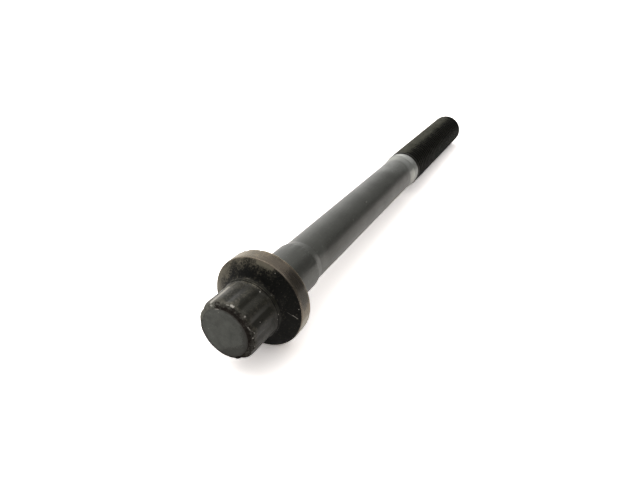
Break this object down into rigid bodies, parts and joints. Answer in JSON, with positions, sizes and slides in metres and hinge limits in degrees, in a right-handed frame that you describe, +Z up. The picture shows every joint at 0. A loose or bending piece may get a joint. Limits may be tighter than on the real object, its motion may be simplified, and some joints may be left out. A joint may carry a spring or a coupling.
{
  "type": "cylinder head bolt",
  "caption": "Long flanged bolt with a bi-hexagonal head, a collar under the flange, a reduced shank and a threaded end, lying at rest.",
  "frame": {"origin": "centre of the flange's flat seat, on the bolt's axis", "axes": "+X along the bolt from head to thread as it lies, which is 1.67 degrees above the bolt's own axis because the thread's tip touches the ground; +Z up; a flute of the head on top"},
  "size_m": [0.165, 0.0206, 0.0207],
  "materials": {
    "black_steel": "black phosphate coat, satin, worn bright at the edges of the head and flange"
  },
  "bodies": {
    "root": {"head_bolt": "black_steel"}
  },
  "joints": []
}
